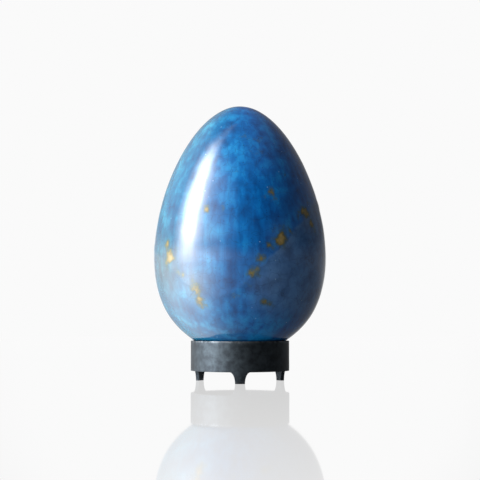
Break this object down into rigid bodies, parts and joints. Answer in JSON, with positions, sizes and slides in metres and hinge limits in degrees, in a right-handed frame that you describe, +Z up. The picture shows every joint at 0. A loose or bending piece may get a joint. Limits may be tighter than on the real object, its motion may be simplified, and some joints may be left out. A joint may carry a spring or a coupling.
{
  "type": "faience egg sculpture",
  "caption": "Glossy blue glazed faience egg resting blunt end down in a low blackened steel ring stand with flared feet.",
  "frame": {"origin": "on the table under the centre of the ring, between the soles of the feet", "axes": "+Z up along the egg's axis, -Y towards the front foot, +X to the right as seen from the front"},
  "size_m": [0.2344, 0.2344, 0.3749],
  "materials": {
    "blue_glaze": "glossy variegated cobalt and azure glaze with a darker slate zone low on one side",
    "blackened_steel": "satin, oil-blackened steel band"
  },
  "bodies": {
    "root": {"egg": "blue_glaze", "stand": "blackened_steel"}
  },
  "joints": []
}
